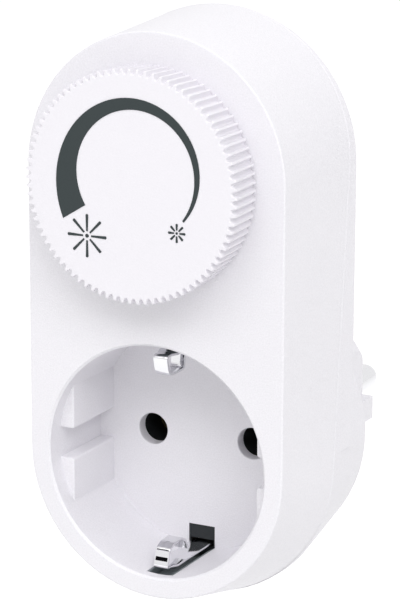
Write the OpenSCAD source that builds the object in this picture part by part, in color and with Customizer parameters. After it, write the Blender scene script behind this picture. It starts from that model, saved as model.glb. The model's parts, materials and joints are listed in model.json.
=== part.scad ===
// Plug-in lamp dimmer: a round earthed socket below, a knurled dimming knob above, a plug behind.
// The origin lies midway between the plug pins on the plug's end face. The pins point along +Y,
// the front faces -Y and +Z is up. Depths (names ending in _d) are counted from the front face.

/* [Housing] */
// Width of the front face
face_w = 47; // [46:0.5:52]
// Height of the upper round end's centre over the socket axis
centre_gap = 48.5; // [47:0.5:56]
// Front face to the flat back
body_d = 25.2; // [25:0.2:28]
// How much each side spreads from the front to the back
flare = 1.5; // [0.8:0.1:2]
// Thickness of the front shell's side wall
wall = 2; // [1.6:0.1:2.2]
// Thickness of the front plate
front_t = 2.2; // [1.8:0.1:3]
// Rounding of the front edge
edge_r = 0.3; // [0.2:0.1:1.6]
// Depth of the parting line at the height of the socket axis
seam_d = 18.2; // [17:0.1:18.6]
// Distance of the parting line's upper end from the flat back
seam_back = 1.1; // [0.9:0.1:2]
// How far the body's lower end drops from the front to the parting line
low_drop = 3; // [1:0.2:3.6]
// How far the rear cover stands inside the front shell's rim
seam_step = 0.2; // [0.1:0.05:0.4]
// Wall of the rear cover
cover_wall = 1.9; // [1.6:0.1:2.2]
// Height of the lip that locates the rear cover
lip_h = 1.8; // [1:0.1:2.4]
// Thickness of that lip
lip_t = 1; // [0.8:0.1:1.2]
// Clearance between fitted plastic pieces
fit_gap = 0.15; // [0.1:0.05:0.25]

/* [Socket] */
// Distance between the two pin axes, at the socket and at the plug
pin_pitch = 19; // [18.6:0.1:19.4]
// Radius of the socket recess
recess_r = 20; // [19.5:0.1:20.4]
// Depth of the socket recess
recess_d = 17.5; // [17:0.1:18]
// Wall round the recess
cup_wall = 1.8; // [1.5:0.1:2]
// Thickness of the recess floor
floor_t = 2.2; // [1.8:0.1:2.6]
// Radius of the pin holes
hole_r = 2.75; // [2.6:0.05:3]
// Distance of the flat guide ribs from the middle
rib_x = 17.6; // [17:0.1:18.2]
// Depth at which the guide ribs start
rib_d = 4; // [3:0.2:6]
// Half height of the guide groove between the ribs
groove_z = 2.7; // [2:0.1:3.2]

/* [Earth clips] */
// Width of the clip at its nose
clip_w = 2.8; // [2.2:0.1:3.2]
// Width of the clip's foot strip
clip_foot_w = 3.8; // [3.2:0.1:4.2]
// Thickness of the clip metal
clip_t = 0.6; // [0.4:0.05:0.8]
// Distance of the clip's contact point from the middle
clip_reach = 15; // [14.6:0.1:15.6]
// Distance of the foot strip from the middle
clip_foot_z = 19.1; // [18.6:0.1:19.4]
// Width of the slots that the clips move in
slot_w = 5; // [4.6:0.1:5.6]
// Depth at which those slots start
slot_d = 2; // [1.6:0.1:2]

/* [Plug] */
// Front face to the rear of the round boss
boss_d = 32.3; // [31.6:0.1:33]
// Radius of the boss at its rear
boss_r = 24.2; // [23.6:0.1:24.3]
// Wall of the boss
boss_wall = 2; // [1.6:0.1:2.4]
// Length of the plug behind the boss
plug_len = 15.2; // [15:0.1:17]
// Radius of the plug
plug_r = 19.2; // [19:0.1:19.3]
// Distance of the plug's flat sides from the middle
plug_flat_x = 16.6; // [16:0.1:17]
// Distance of the plug's guide keys from the middle
key_x = 18.7; // [18:0.1:18.9]
// Half height of a guide key
key_z = 2; // [1.4:0.1:2]
// Radius of the plug pins
pin_r = 2.4; // [2.3:0.05:2.5]
// Length of the plug pins
pin_len = 19; // [18:0.5:20]

/* [Knob] */
// Knob radius over the knurl at the front
knob_r = 19.05; // [18:0.05:19.5]
// Growth of the knob's radius towards its base
knob_draft = 0.35; // [0.2:0.05:0.8]
// How far the knob axis lies below the upper round end's centre
knob_drop = 0.4; // [0:0.1:0.8]
// Front of the knob to the front face
knob_h = 8.2; // [7.5:0.1:10]
// Gap between the knob and the front face
knob_gap = 0.3; // [0.2:0.1:1.2]
// Number of knurl teeth
knurl_count = 84; // [60:1:96]
// Depth of the knurl
knurl_depth = 0.85; // [0.5:0.05:1]
// Slope height of the knob's front edge
knob_chamfer = 0.7; // [0.4:0.05:0.9]
// Thickness of the knob's front
knob_top_t = 1.8; // [1.4:0.1:2.4]
// Radius of the turning shaft
shaft_r = 3; // [2.6:0.1:3.2]
// Outer radius of the printed arc halfway along it
arc_r = 12.4; // [11:0.1:13.2]
// Thickness of the print
print_t = 0.08; // [0.06:0.01:0.12]

/* [Electronics] */
// Room between the circuit board and the rear cover
board_room = 7.7; // [7.4:0.1:8]
// Thickness of the circuit board
board_t = 1.6; // [1.2:0.1:1.8]
// Radius of the potentiometer's can
pot_r = 7.6; // [7.2:0.1:7.8]
// Radius of the fuse tube
fuse_r = 2.5; // [2.3:0.1:2.6]
// Length of the fuse
fuse_len = 20; // [19:0.5:21]
// Radius of a lead over its insulation
lead_r = 0.9; // [0.7:0.05:1]
// Radius of a screw's shank
screw_r = 1.45; // [1.3:0.05:1.5]

/* [Hidden] */
$fn = 96;
big = 300;
eps = 0.01;

// Colours
shell_white = "#F4F2F8";
print_grey = "#434C4D";
brass = "#C9A24B";
nickel = "#C9CACC";
board_green = "#3C6B45";
carrier_black = "#1F1F22";

// Levels along the depth
face_y = -(boss_d + plug_len);
plug_d = boss_d + plug_len;
floor_back = recess_d + floor_t;
back_in = body_d - cover_wall;
boss_in = boss_d - boss_wall;
board_back = back_in - board_room;
board_d = board_back - board_t;
knob_z = centre_gap - knob_drop;
pin_x = pin_pitch / 2;
seam_tilt = atan((body_d - seam_back - seam_d) / (centre_gap + face_w / 2 + flare));
touch = 0.05;
ease = 0.3;
play = 0.1;

function body_r(d) = face_w / 2 + flare * d / body_d;
function inner_r(d) = body_r(d) - wall;
function seam_at(z) = seam_d + z * tan(seam_tilt);
function drop(d) = low_drop * d / seam_d;
// Corner arc in [radius, depth], from angle a0 to a1, seen from its centre
function arc_points(c, r, a0, a1, n = 6) =
    [for (i = [0 : n]) [c[0] + r * cos(a0 + (a1 - a0) * i / n), c[1] + r * sin(a0 + (a1 - a0) * i / n)]];

// Solid of revolution about the Y axis, from [radius, depth] points
module turned(points) {
    rotate([-90, 0, 0])
        rotate_extrude()
            polygon(points);
}

// Upper or lower half of such a solid
module turned_half(points, upper) {
    rotate([-90, 0, 0])
        rotate([0, 0, upper ? 180 : 0])
            rotate_extrude(angle = 180)
                polygon(points);
}

// The outline's points mirrored to the left, without those on the axis
function mirrored(points) = [for (i = [len(points) - 2 : -1 : 1]) [-points[i][0], points[i][1]]];

// Upright body with a round end at each end
module pill(points, with_lower = true) {
    translate([0, 0, centre_gap])
        turned_half(points, true);
    linear_extrude(centre_gap)
        polygon(concat(points, mirrored(points)));
    if (with_lower)
        turned_half(points, false);
}

module rod(r, d0, d1) {
    translate([0, d0, 0])
        rotate([-90, 0, 0])
            cylinder(r = r, h = d1 - d0);
}

module cone(r0, r1, d0, d1) {
    translate([0, d0, 0])
        rotate([-90, 0, 0])
            cylinder(r1 = r0, r2 = r1, h = d1 - d0);
}

module block(x, d, z) {
    translate([x[0], d[0], z[0]])
        cube([x[1] - x[0], d[1] - d[0], z[1] - z[0]]);
}

// Thin slice of the body's lower end at one depth, carried up past the socket axis
slice_sides = 64;
slice_up = 10;
module low_slice(r, d) {
    for (z = [-drop(d), slice_up])
        translate([0, 0, z])
            rod(r, d, d + eps, $fn = slice_sides);
}

module below_axis() {
    block([-big, big], [-big, big], [-big, 0]);
}

// Everything deeper than the slanted parting plane, moved back by shift
module behind_seam(shift = 0) {
    translate([0, seam_d + shift, 0])
        rotate([-seam_tilt, 0, 0])
            block([-big / 2, big / 2], [0, big], [-big / 2, big / 2]);
}

module from_face() {
    translate([0, face_y, 0])
        children();
}

module at_knob_axis() {
    translate([0, 0, knob_z])
        children();
}

// Lead of round section along a list of points, as one closed surface
lead_sides = 8;
function unit(v) = v / norm(v);
function heading(p, i) = unit(p[min(i + 1, len(p) - 1)] - p[max(i - 1, 0)]);
function across(t) = unit(cross(t, [1, 0, 0.2]));
function ring(p, i, r) =
    let (t = heading(p, i), a = across(t), b = cross(t, a))
    [for (k = [0 : lead_sides - 1])
        p[i] + r * (a * cos(360 * k / lead_sides) + b * sin(360 * k / lead_sides))];

module lead(path, r) {
    n = len(path);
    s = lead_sides;
    points = [for (i = [0 : n - 1]) for (q = ring(path, i, r)) q];
    sides = [for (i = [0 : n - 2]) for (k = [0 : s - 1])
        let (a = i * s + k, b = i * s + (k + 1) % s)
        each [[a, b, b + s], [a, b + s, a + s]]];
    first = [for (k = [1 : s - 2]) [0, k + 1, k]];
    last = [for (k = [1 : s - 2]) [(n - 1) * s, (n - 1) * s + k, (n - 1) * s + k + 1]];
    polyhedron(points, concat(sides, first, last));
}

// Screws: the cover's posts, the board's posts
head_r = screw_r * 1.8;
head_h = 1.4;
post_r = screw_r + 1.6;
board_post_r = screw_r + 1.1;
cover_post_low_z = recess_r + cup_wall + post_r + 0.65;
cover_post_low_x = inner_r(front_t) - post_r - 1;
cover_post_top_z = knob_z + inner_r(front_t) - lip_t - post_r - 0.5;
cover_posts = [
    [0, cover_post_top_z], [cover_post_low_x, cover_post_low_z], [-cover_post_low_x, cover_post_low_z]
];
board_post_x = pot_r + board_post_r + 4.3;
board_post_z = knob_z + 9;
board_posts = [[board_post_x, board_post_z], [-board_post_x, board_post_z]];
cover_head_d = body_d - head_h - 0.3;
cover_screw_len = 9;
board_screw_len = 7;

// Front shell
shell_profile = concat(
    arc_points([face_w / 2 - edge_r, edge_r], edge_r, -90, 0),
    [[body_r(body_d), body_d]]
);
shell_points = concat([[0, 0]], shell_profile, [[0, body_d]]);
shell_cavity = [
    [0, front_t], [inner_r(front_t), front_t], [inner_r(body_d + 1), body_d + 1], [0, body_d + 1]
];
cup_r = recess_r + cup_wall;
slot_z = cup_r + 0.1;
pocket_x = slot_w / 2 + 1.8;
pocket_z = slot_z + 1.9;
mouth_chamfer = 0.4;
shaft_hole_r = shaft_r + 0.6;
slot_in_z = clip_reach + 1;
lead_notch_t = 1.2;
lead_notch_z = 17;

module recess() {
    rod(recess_r, -eps, rib_d);
    cone(recess_r + mouth_chamfer, recess_r, -eps, mouth_chamfer);
    intersection() {
        rod(recess_r, rib_d - eps, recess_d);
        union() {
            block([-rib_x, rib_x], [0, big], [-big, big]);
            block([-big, big], [0, big], [-groove_z, groove_z]);
        }
    }
}

module clip_slot(up) {
    z = up ? [0, slot_z] : [-slot_z, 0];
    floor_z = up ? [slot_in_z, slot_z] : [-slot_z, -slot_in_z];
    block([-slot_w / 2, slot_w / 2], [slot_d, recess_d], z);
    block([-slot_w / 2, slot_w / 2], [recess_d - eps, floor_back + 1], floor_z);
}

// Notch in the back edge of the recess floor, where the leads pass
module lead_notch() {
    side = lead_r + 0.3;
    block(
        [pass_x[0] - side, pass_x[1] + side],
        [floor_back - lead_notch_t, floor_back + 1],
        [lead_notch_z, pocket_z + 1]
    );
}

module shell_form() {
    pill(shell_points, with_lower = false);
    intersection() {
        hull()
            for (p = shell_profile)
                low_slice(p[0], p[1]);
        below_axis();
    }
}

module front_housing() {
    color(shell_white)
        from_face()
            difference() {
                union() {
                    difference() {
                        shell_form();
                        pill(shell_cavity);
                        behind_seam();
                    }
                    rod(cup_r, front_t / 2, floor_back);
                    block([-pocket_x, pocket_x], [front_t / 2, floor_back], [recess_r - 2, pocket_z]);
                    for (p = cover_posts)
                        translate([p[0], 0, p[1]])
                            rod(post_r, front_t / 2, back_in - play);
                    for (p = board_posts)
                        translate([p[0], 0, p[1]])
                            rod(board_post_r, front_t / 2, board_d);
                }
                recess();
                clip_slot(true);
                clip_slot(false);
                for (x = [-pin_x, pin_x])
                    translate([x, 0, 0])
                        rod(hole_r, recess_d - eps, floor_back + 1);
                lead_notch();
                at_knob_axis()
                    rod(shaft_hole_r, -1, front_t + 1);
                for (p = cover_posts)
                    translate([p[0], 0, p[1]])
                        rod(screw_r + touch, cover_head_d - cover_screw_len - 0.5, body_d);
                for (p = board_posts)
                    translate([p[0], 0, p[1]])
                        rod(screw_r + touch, board_back - board_screw_len - 0.5, body_d);
            }
}

// Rear cover with the boss and the plug
cover_edge = 0.8;
boss_edge = 0.8;
plug_edge = 1;
cover_front_d = seam_at(-body_r(seam_d) - low_drop) - 3;
cup_clear = 0.3;
collar_r = pin_r + 0.6;
neck_r = pin_r - 0.2;
pin_shoulder = 0.3;
collar_d = [recess_d + pin_len + 1, recess_d + pin_len + 3];
core_x = pin_x - collar_r + 0.4;
core_z = 4;
core_d = collar_d[1] + 1;
earth_z = 15.9;
earth_t = 0.6;
earth_w = 5.2;
earth_slot_gap = 0.3;

function cover_r(d) = body_r(d) - seam_step;
function boss_r_at(d) =
    cover_r(seam_d) + (boss_r - cover_r(seam_d)) * (d - seam_d) / (boss_d - seam_d);

cover_points = concat(
    [[0, 0], [cover_r(0), 0]],
    arc_points([cover_r(body_d) - cover_edge, body_d - cover_edge], cover_edge, 0, 90),
    [[0, body_d]]
);
cover_cavity = [
    [0, -1], [cover_r(-1) - cover_wall, -1], [cover_r(back_in) - cover_wall, back_in], [0, back_in]
];
boss_rim = arc_points([boss_r - boss_edge, boss_d - boss_edge], boss_edge, 0, 90);
boss_points = concat([[0, seam_d], [cover_r(seam_d), seam_d]], boss_rim, [[0, boss_d]]);
boss_cavity = [
    [0, cover_front_d - 1],
    [cup_r + cup_clear, cover_front_d - 1],
    [cup_r + cup_clear, floor_back],
    [boss_r_at(boss_in) - boss_wall, boss_in],
    [0, boss_in]
];
plug_points = concat(
    [[0, boss_in + 0.5], [plug_r, boss_in + 0.5]],
    arc_points([plug_r - plug_edge, plug_d - plug_edge], plug_edge, 0, 90),
    [[0, plug_d]]
);

module plug_body() {
    intersection() {
        turned(plug_points);
        union() {
            block([-plug_flat_x, plug_flat_x], [0, big], [-big, big]);
            block([-key_x, key_x], [0, big], [-key_z, key_z]);
        }
    }
}

module cover_form() {
    pill(cover_points, with_lower = false);
    turned_half(boss_points, true);
    intersection() {
        hull() {
            for (d = [cover_front_d, seam_d])
                low_slice(cover_r(d), d);
            for (p = boss_rim)
                rod(p[0], p[1] - eps, p[1], $fn = slice_sides);
        }
        below_axis();
    }
}

// Lip that enters the front shell, and its root in the cover's wall
lip_root = 1.2;
module shell_ring(outer_gap, inner_gap) {
    difference() {
        pill([[0, 0], [body_r(0) - outer_gap, 0], [body_r(body_d) - outer_gap, body_d], [0, body_d]]);
        pill([
            [0, -1], [body_r(-1) - inner_gap, -1],
            [body_r(body_d + 1) - inner_gap, body_d + 1], [0, body_d + 1]
        ]);
    }
}

module lip() {
    tongue_gap = wall + fit_gap;
    intersection() {
        union() {
            intersection() {
                shell_ring(tongue_gap, tongue_gap + lip_t);
                behind_seam(-lip_h);
            }
            intersection() {
                shell_ring(seam_step + cover_wall / 2, tongue_gap + lip_t);
                behind_seam();
            }
        }
        difference() {
            behind_seam(-lip_h);
            behind_seam(lip_root);
        }
        block([-big, big], [-big, back_in + eps], [cover_post_low_z + post_r, big]);
    }
}

module rear_cover() {
    color(shell_white)
        from_face() {
            lip();
            difference() {
                union() {
                    intersection() {
                        cover_form();
                        behind_seam();
                    }
                    plug_body();
                }
                pill(cover_cavity, with_lower = false);
                turned(boss_cavity);
                for (x = [-pin_x, pin_x])
                    translate([x, 0, 0]) {
                        rod(neck_r + touch, boss_in - 1, big);
                        rod(collar_r + touch, boss_in - 1, collar_d[1]);
                    }
                block([-core_x, core_x], [boss_in - 1, core_d], [-core_z, core_z]);
                for (z = [[earth_z - earth_slot_gap, big], [-big, -earth_z + earth_slot_gap]])
                    block([-earth_w / 2 - ease, earth_w / 2 + ease], [boss_d, big], z);
                for (z = [[earth_z, earth_z + earth_t], [-earth_z - earth_t, -earth_z]])
                    block(
                        [-earth_w / 2 - ease, earth_w / 2 + ease], [boss_in - 1, boss_d + 1],
                        [z[0] - ease, z[1] + ease]
                    );
                for (p = cover_posts)
                    translate([p[0], 0, p[1]]) {
                        rod(screw_r + play, back_in - 1, big);
                        rod(head_r + play, cover_head_d, big);
                    }
            }
        }
}

// Pan head screw that points forward, with a cross recess in its head
module screw(head_front_d, length) {
    recess_w = 0.6;
    recess_l = head_r * 0.6;
    recess_depth = 0.8;
    difference() {
        union() {
            rod(screw_r, head_front_d - length, head_front_d + eps);
            rod(head_r, head_front_d, head_front_d + head_h);
        }
        for (a = [0, 90])
            rotate([0, a, 0])
                block(
                    [-recess_l, recess_l],
                    [head_front_d + head_h - recess_depth, big],
                    [-recess_w / 2, recess_w / 2]
                );
    }
}

module cover_screws() {
    color(nickel)
        from_face()
            for (p = cover_posts)
                translate([p[0], 0, p[1]])
                    screw(cover_head_d, cover_screw_len);
}

module board_screws() {
    color(nickel)
        from_face()
            for (p = board_posts)
                translate([p[0], 0, p[1]])
                    screw(board_back, board_screw_len);
}

// Knob
knob_front = -knob_h;
knob_base_r = knob_r + knob_draft;
knob_wall = 2;
hub_r = shaft_r + 1.5;
flat_cut = shaft_r * 0.72;
shaft_top = knob_front + knob_top_t;

function knurl_points() =
    [for (i = [0 : 2 * knurl_count - 1])
        let (r = i % 2 == 0 ? knob_base_r + 0.02 : knob_base_r - knurl_depth, a = 180 * i / knurl_count)
        [r * cos(a), r * sin(a)]];

module d_shaft(r, d0, d1) {
    intersection() {
        rod(r, d0, d1);
        block([-big, big], [d0, d1], [-big, flat_cut + r - shaft_r]);
    }
}

module knob() {
    color(shell_white)
        from_face()
            at_knob_axis()
                difference() {
                    intersection() {
                        translate([0, knob_front, 0])
                            rotate([-90, 0, 0])
                                linear_extrude(knob_h - knob_gap)
                                    polygon(knurl_points());
                        turned([
                            [0, knob_front],
                            [knob_r - knurl_depth, knob_front],
                            [knob_r, knob_front + knob_chamfer],
                            [knob_base_r, -knob_gap],
                            [0, -knob_gap]
                        ]);
                    }
                    difference() {
                        rod(knob_r - knurl_depth - knob_wall, shaft_top, 1);
                        rod(hub_r, shaft_top - 1, 1);
                    }
                    d_shaft(shaft_r + touch, shaft_top, 1);
                }
}

// Printed arc that swells from the dim end to the bright end, with a sun sign at each end
arc_shift = [1.04, 2];
arc_dim_a = -37;
arc_bright_a = 211.7;
arc_widths = [0.35, 1.88, 1.17, 4.8];
arc_steps = 72;
arc_mid_t = 1.78;
arc_in_r = arc_r - arc_mid_t;
big_sun = [-8.74, -10.58];
big_sun_ray = [0.75, 3.45];
big_sun_w = 0.47;
small_sun = [7.51, -8.48];
small_sun_ray = [0.48, 1.45];
small_sun_w = 0.39;

function arc_angle(s) = arc_dim_a + (arc_bright_a - arc_dim_a) * s;
function arc_t(s) =
    let (e = 1 - s, w = arc_widths)
    w[0] * e * e * e + 3 * w[1] * s * e * e + 3 * w[2] * s * s * e + w[3] * s * s * s;
function arc_point(s, t) = (arc_in_r + t) * [cos(arc_angle(s)), sin(arc_angle(s))];

module sun(ray, w) {
    circle(r = ray[0] * 0.42, $fn = 24);
    for (a = [0 : 45 : 315])
        rotate(a)
            polygon([
                [ray[0], -w * 0.3], [ray[1], -w / 2], [ray[1] + w * 0.3, 0],
                [ray[1], w / 2], [ray[0], w * 0.3]
            ]);
}

module knob_print() {
    color(print_grey)
        from_face()
            translate([arc_shift[0], knob_front, knob_z + arc_shift[1]])
                rotate([90, 0, 0])
                    linear_extrude(print_t) {
                        polygon(concat(
                            [for (i = [0 : arc_steps]) arc_point(i / arc_steps, arc_t(i / arc_steps))],
                            [for (i = [arc_steps : -1 : 0]) arc_point(i / arc_steps, 0)]
                        ));
                        translate(big_sun)
                            sun(big_sun_ray, big_sun_w);
                        translate(small_sun)
                            sun(small_sun_ray, small_sun_w);
                    }
}

// Potentiometer
pot_h = 5.9;
pot_d = [board_d - play - pot_h, board_d - play];
pot_bush_r = shaft_r + 1.2;
pot_bush_len = 3;
pot_wall = 0.8;
pot_top_t = 1;
track_t = 1;
terminal_pitch = 5;
terminal_z = -pot_r - 0.8;
terminal_t = 0.7;
shaft_end = pot_d[0] + pot_top_t + ease;
track_d = pot_d[1] - track_t - 0.3;
wiper_t = 1;

module pot_housing() {
    color("#3A3D42")
        from_face()
            at_knob_axis()
                difference() {
                    union() {
                        rod(pot_r, pot_d[0], pot_d[1]);
                        rod(pot_bush_r, pot_d[0] - pot_bush_len, pot_d[0] + eps);
                        block(
                            [-terminal_pitch - 1.5, terminal_pitch + 1.5],
                            [pot_d[1] - 2.4, pot_d[1]], [-pot_r - 0.4, -3]
                        );
                    }
                    rod(pot_r - pot_wall, pot_d[0] + pot_top_t, big);
                    rod(shaft_r + touch, 0, big);
                }
}

module pot_shaft() {
    color("#E8E6E0")
        from_face()
            at_knob_axis() {
                d_shaft(shaft_r, shaft_top + play, -knob_gap);
                rod(shaft_r, -knob_gap, shaft_end);
            }
}

module pot_wiper() {
    color(brass)
        from_face()
            at_knob_axis() {
                rod(shaft_r + 1, shaft_end, shaft_end + wiper_t);
                block([-0.8, 0.8], [shaft_end, shaft_end + wiper_t], [0, pot_r - pot_wall - 1]);
                block(
                    [-0.8, 0.8], [shaft_end, track_d - touch],
                    [pot_r - pot_wall - 1.6, pot_r - pot_wall - 1]
                );
            }
}

module pot_track() {
    color("#5B3A22")
        from_face()
            at_knob_axis()
                rod(pot_r - pot_wall - touch, track_d, track_d + track_t);
}

module pot_terminals() {
    color(nickel)
        from_face()
            at_knob_axis()
                for (x = [-terminal_pitch, 0, terminal_pitch])
                    block(
                        [x - 0.6, x + 0.6], [pot_d[1] - 2, board_d - touch],
                        [terminal_z - terminal_t + 0.3, terminal_z + 0.3]
                    );
}

// Circuit board: straight below the knob axis, round above it
board_r = inner_r(front_t) - 2;
board_low_z = cover_post_low_z + post_r + 0.9;
board_top_z = cover_post_top_z - post_r - 0.5;

module circuit_board() {
    color(board_green)
        from_face()
            difference() {
                intersection() {
                    union() {
                        at_knob_axis()
                            rod(board_r, board_d, board_back);
                        block([-board_r, board_r], [board_d, board_back], [0, knob_z]);
                    }
                    block([-big, big], [-big, big], [board_low_z, board_top_z]);
                }
                for (p = board_posts)
                    translate([p[0], 0, p[1]])
                        rod(screw_r + play, 0, big);
            }
}

// Power parts on the back of the board
sink_x = board_post_x - head_r - 0.8;
sink_t = 1.5;
sink_d = [board_back + play, board_back + play + sink_t];
sink_fin_d = back_in - 1.2;
sink_z = [knob_z - 7, board_top_z - 0.5];
triac_x = 5;
triac_tab_t = 1.3;
triac_body_t = 4.2;
triac_body_z = [knob_z - 6, knob_z + 3];
triac_tab_z = [knob_z - 6, knob_z + 9.3];
triac_hole_z = knob_z + 6.2;
triac_d = sink_d[1] + touch;

module heatsink() {
    color("#B9BCC0")
        from_face()
            difference() {
                union() {
                    block([-sink_x, sink_x], sink_d, sink_z);
                    for (x = [[-sink_x, -sink_x + sink_t], [sink_x - sink_t, sink_x]])
                        block(x, [sink_d[0], sink_fin_d], sink_z);
                }
                translate([0, 0, triac_hole_z])
                    rod(screw_r + touch, 0, big);
            }
}

module triac() {
    color("#2B2C2E")
        from_face()
            difference() {
                union() {
                    block([-triac_x, triac_x], [triac_d, triac_d + triac_tab_t], triac_tab_z);
                    block([-triac_x, triac_x], [triac_d, triac_d + triac_body_t], triac_body_z);
                    for (x = [-2.54, 0, 2.54])
                        block(
                            [x - 0.4, x + 0.4], [triac_d + 1.8, triac_d + 2.3],
                            [triac_body_z[0] - 3, triac_body_z[0] + eps]
                        );
                }
                translate([0, 0, triac_hole_z])
                    rod(screw_r + play, 0, big);
            }
}

module triac_screw() {
    color(nickel)
        from_face()
            translate([0, 0, triac_hole_z])
                screw(triac_d + triac_tab_t, triac_tab_t + touch + sink_t);
}

// Choke and capacitors on the front of the board, below the potentiometer
choke_r = 5;
choke_hole_r = 3;
choke_h = 4.6;
winding_t = 0.7;
choke_x = -10.5;
choke_drop = 13.5;
choke_z = knob_z - choke_drop;
choke_d = board_d - play - winding_t - choke_h;
film_cap_w = 12;
film_cap_h = 8.5;
film_cap_t = 4.6;
film_cap_x = 10.3;
film_cap_drop = 15.5;
film_cap_z = knob_z - film_cap_drop;
timing_cap_w = 7;
timing_cap_h = 6;
timing_cap_t = 2.2;
cap_gap = 0.5;
timing_cap_z = film_cap_z + film_cap_t / 2 + timing_cap_t / 2 + cap_gap;

module at_choke() {
    translate([choke_x, 0, choke_z])
        children();
}

module choke_core() {
    color("#4A4E52")
        from_face()
            at_choke()
                difference() {
                    rod(choke_r, choke_d, choke_d + choke_h);
                    rod(choke_hole_r, 0, big);
                }
}

// Winding as one sleeve round the core, open for a sixth of a turn
module choke_winding() {
    lap = touch;
    color("#B5652B")
        from_face()
            at_choke()
                rotate([-90, 0, 0])
                    rotate([0, 0, -60])
                        rotate_extrude(angle = 300)
                            difference() {
                                translate([choke_hole_r - winding_t, choke_d - winding_t])
                                    square([choke_r - choke_hole_r + 2 * winding_t, choke_h + 2 * winding_t]);
                                translate([choke_hole_r - lap, choke_d - lap])
                                    square([choke_r - choke_hole_r + 2 * lap, choke_h + 2 * lap]);
                            }
}

// Box-shaped capacitor standing on the board's front side
module box_capacitor(x, z, w, h, t) {
    block([x - w / 2, x + w / 2], [board_d - touch - h, board_d - touch], [z - t / 2, z + t / 2]);
}

module film_capacitor() {
    color("#B8322A")
        from_face()
            box_capacitor(film_cap_x, film_cap_z, film_cap_w, film_cap_h, film_cap_t);
}

module timing_capacitor() {
    color("#D9B43A")
        from_face()
            box_capacitor(film_cap_x, timing_cap_z, timing_cap_w, timing_cap_h, timing_cap_t);
}

// Small axial part lying on the board's front side, with its two bent ends
module axial(x, z, r, length) {
    wire_r = 0.3;
    leg_r = 0.4;
    span = length + 3;
    d = board_d - touch - r;
    translate([x, d, z])
        cylinder(r = r, h = length, center = true);
    translate([x, d, z])
        cylinder(r = wire_r, h = span, center = true);
    for (s = [-1, 1])
        translate([x, 0, z + s * span / 2])
            rod(leg_r, d - leg_r, board_d - touch);
}

axial_x = board_r - 2;
axial_pitch = 3.4;

module diac() {
    color("#2F5FA8")
        from_face()
            axial(-axial_x, knob_z, 1, 4);
}

module resistors() {
    color("#C8A878")
        from_face()
            for (i = [0, 1])
                axial(axial_x - i * axial_pitch, knob_z - 1, 1.2, 6.4);
}

// Fuse behind the board, held by two clips
fuse_cap_len = 5;
fuse_cap_t = 0.25;
fuse_cap_gap = 0.02;
fuse_drop = 12.8;
fuse_lift = 1;
fuse_z = knob_z - fuse_drop;
fuse_d = board_back + fuse_r + fuse_cap_t + fuse_lift;
fuse_clip_x = fuse_len / 2 - fuse_cap_len / 2;
fuse_clip_w = 3.6;
fuse_clip_t = 0.5;
fuse_clip_foot = 2.4;

module at_fuse() {
    translate([0, fuse_d, fuse_z])
        children();
}

module fuse_tube() {
    length = fuse_len - 2 * fuse_cap_t - 2 * touch;
    color("#CFE3E6")
        from_face()
            at_fuse()
                rotate([0, 90, 0])
                    cylinder(r = fuse_r, h = length, center = true);
}

module fuse_caps() {
    color(nickel)
        from_face()
            at_fuse()
                for (side = [-90, 90])
                    rotate([0, side, 0])
                        translate([0, 0, fuse_len / 2 - fuse_cap_len])
                            difference() {
                                cylinder(r = fuse_r + fuse_cap_t, h = fuse_cap_len);
                                translate([0, 0, -eps])
                                    cylinder(r = fuse_r + fuse_cap_gap, h = fuse_cap_len - fuse_cap_t);
                            }
}

module fuse_clips() {
    r = fuse_r + fuse_cap_t + touch;
    color(brass)
        from_face()
            at_fuse()
                for (x = [-fuse_clip_x, fuse_clip_x])
                    translate([x - fuse_clip_w / 2, 0, 0]) {
                        difference() {
                            rotate([0, 90, 0])
                                cylinder(r = r + fuse_clip_t, h = fuse_clip_w);
                            translate([-1, 0, 0])
                                rotate([0, 90, 0])
                                    cylinder(r = r, h = fuse_clip_w + 2);
                            block([-1, fuse_clip_w + 1], [r * 0.5, big], [-big, big]);
                        }
                        block(
                            [0, fuse_clip_w], [board_back + touch - fuse_d, -r - fuse_clip_t / 2],
                            [-fuse_clip_foot / 2, fuse_clip_foot / 2]
                        );
                    }
}

// Plug pins and socket sleeves
pin_tip = 2.2;
sleeve_r = collar_r;
sleeve_in_r = pin_r + 0.1;
sleeve_set = 4.8;
sleeve_d = [boss_in - sleeve_set, collar_d[0] - 2];
pin_tip_points = arc_points([pin_r - pin_tip, plug_d + pin_len - pin_tip], pin_tip, 0, 90);

module plug_pin(x) {
    color(nickel)
        from_face()
            translate([x, 0, 0])
                turned(concat(
                    [[0, collar_d[0]], [collar_r, collar_d[0]]],
                    [[collar_r, collar_d[1]], [neck_r, collar_d[1]]],
                    [[neck_r, plug_d + pin_shoulder], [pin_r, plug_d + pin_shoulder]],
                    pin_tip_points,
                    [[0, plug_d + pin_len]]
                ));
}

module line_plug_pin() {
    plug_pin(pin_x);
}

module neutral_plug_pin() {
    plug_pin(-pin_x);
}

module socket_sleeve(x) {
    color(brass)
        from_face()
            translate([x, 0, 0])
                difference() {
                    rod(sleeve_r, sleeve_d[0], sleeve_d[1]);
                    rod(sleeve_in_r, 0, big);
                }
}

module line_socket_sleeve() {
    socket_sleeve(pin_x);
}

module neutral_socket_sleeve() {
    socket_sleeve(-pin_x);
}

link_t = 0.6;
link_w = 3;

module neutral_link() {
    x = -pin_x + collar_r + touch;
    color(brass)
        from_face()
            block([x, x + link_t], [sleeve_d[0] + 1, collar_d[1] - 0.4], [-link_w / 2, link_w / 2]);
}

// Insulating block that holds the sleeves, with a guide bore up to each hole of the recess floor
carrier_x = pin_x + sleeve_r + 1.8;
carrier_z = 6.5;
guide_r = hole_r + 1.2;
bridge_d = [floor_back + 0.5, floor_back + 1.2];
carrier_d = [bridge_d[1] + 0.4, boss_in - play];

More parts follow.
